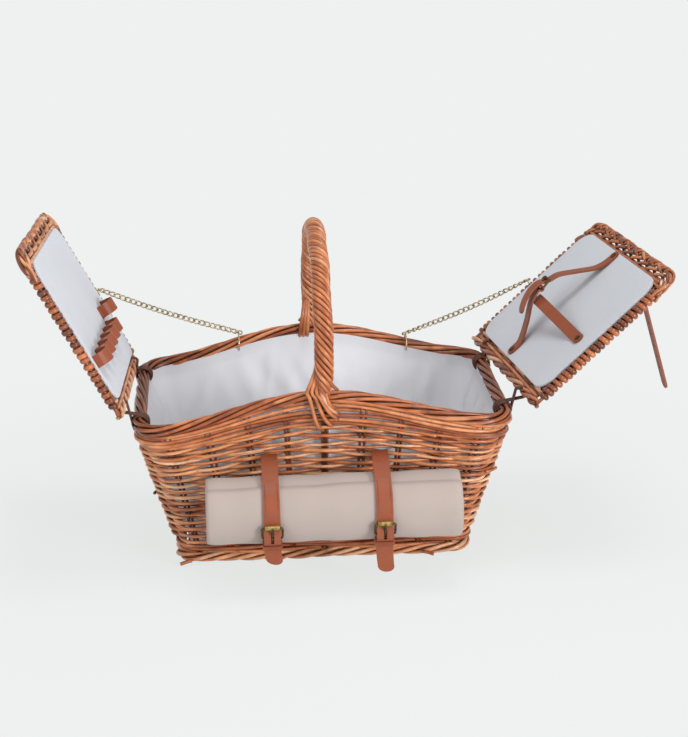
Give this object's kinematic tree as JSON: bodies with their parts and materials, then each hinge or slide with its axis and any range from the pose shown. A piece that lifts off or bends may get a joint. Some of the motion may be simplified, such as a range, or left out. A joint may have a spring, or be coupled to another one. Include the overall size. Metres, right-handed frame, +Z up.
{
  "type": "picnic basket",
  "caption": "Flared woven picnic basket with an arched rim, bow handle, hinged lids held by chains, cloth lining, fitted straps and a strapped-on blanket roll.",
  "frame": {"origin": "centre of the underside of the base, on the floor", "axes": "+X along the basket to the lid with the plate harness, +Y to the back, +Z up; the blanket is at the front, towards -Y"},
  "size_m": [0.8127, 0.3848, 0.4147],
  "materials": {
    "willow": "satin",
    "lining_cloth": "matte woven cloth",
    "blanket_wool": "matte fleece",
    "leather": "smooth, edge stitched",
    "brass": "satin",
    "chain_bronze": "antiqued",
    "hinge_wire": "dark brown coated wire"
  },
  "bodies": {
    "basket": {"wall_weave": "willow", "rim_border": "willow", "foot_border": "willow", "base_panel": "willow", "lining_bag": "lining_cloth", "handle_bow": "willow", "handle_wrap": "willow", "handle_foot_front": "willow", "handle_foot_back": "willow", "left_hinge_loop_front": "hinge_wire", "left_hinge_loop_back": "hinge_wire", "right_hinge_loop_front": "hinge_wire", "right_hinge_loop_back": "hinge_wire", "left_chain_rim_ring": "chain_bronze", "right_chain_rim_ring": "chain_bronze", "blanket_roll": "blanket_wool", "left_blanket_strap": "leather", "left_blanket_buckle": "brass", "left_blanket_roller": "brass", "left_blanket_prong": "brass", "left_blanket_keeper": "leather", "right_blanket_strap": "leather", "right_blanket_buckle": "brass", "right_blanket_roller": "brass", "right_blanket_prong": "brass", "right_blanket_keeper": "leather", "left_chain": "chain_bronze", "right_chain": "chain_bronze"},
    "left_lid": {"left_lid_frame": "willow", "left_lid_weave": "willow", "left_lid_lining": "lining_cloth", "cutlery_strap": "leather", "cutlery_lone_loop": "leather", "clasp_strap": "leather", "clasp_rivet": "brass", "clasp_buckle": "brass", "left_chain_lid_ring": "chain_bronze"},
    "right_lid": {"right_lid_frame": "willow", "right_lid_weave": "willow", "right_lid_lining": "lining_cloth", "plate_strap_lower": "leather", "plate_strap_upper": "leather", "plate_strap_side": "leather", "plate_buckle": "brass", "plate_prong": "brass", "plate_rivet_lower": "brass", "plate_rivet_upper": "brass", "plate_rivet_side": "brass", "closure_tab": "leather", "closure_rivet": "brass", "right_chain_lid_ring": "chain_bronze"},
    "closure_strap": {"closure_strap": "leather"},
    "clasp_prong": {"clasp_prong": "brass"}
  },
  "joints": [
    {"name": "left_lid_hinge", "type": "hinge", "parent": "basket", "child": "left_lid", "pos_m": [-0.2413, -0.0096, 0.2099], "axis": [-0.039, -0.9989, 0.0265], "range_deg": [-106, 0], "deforming": ["left_chain"]},
    {"name": "right_lid_hinge", "type": "hinge", "parent": "basket", "child": "right_lid", "pos_m": [0.2391, -0.005, 0.213], "axis": [-0.063, 0.9978, 0.0186], "range_deg": [-128.5, 0], "deforming": ["right_chain"]},
    {"name": "closure_strap_swing", "type": "hinge", "parent": "right_lid", "child": "closure_strap", "pos_m": [0.40598, 0.01679, 0.34861], "axis": [-0.1226, 0.9924, -0.0086], "range_deg": [-115, 10]},
    {"name": "clasp_prong_turn", "type": "hinge", "parent": "left_lid", "child": "clasp_prong", "pos_m": [-0.3389, 0.00557, 0.37009], "axis": [-0.0345, -0.9967, 0.0734], "range_deg": [0, 110]}
  ]
}
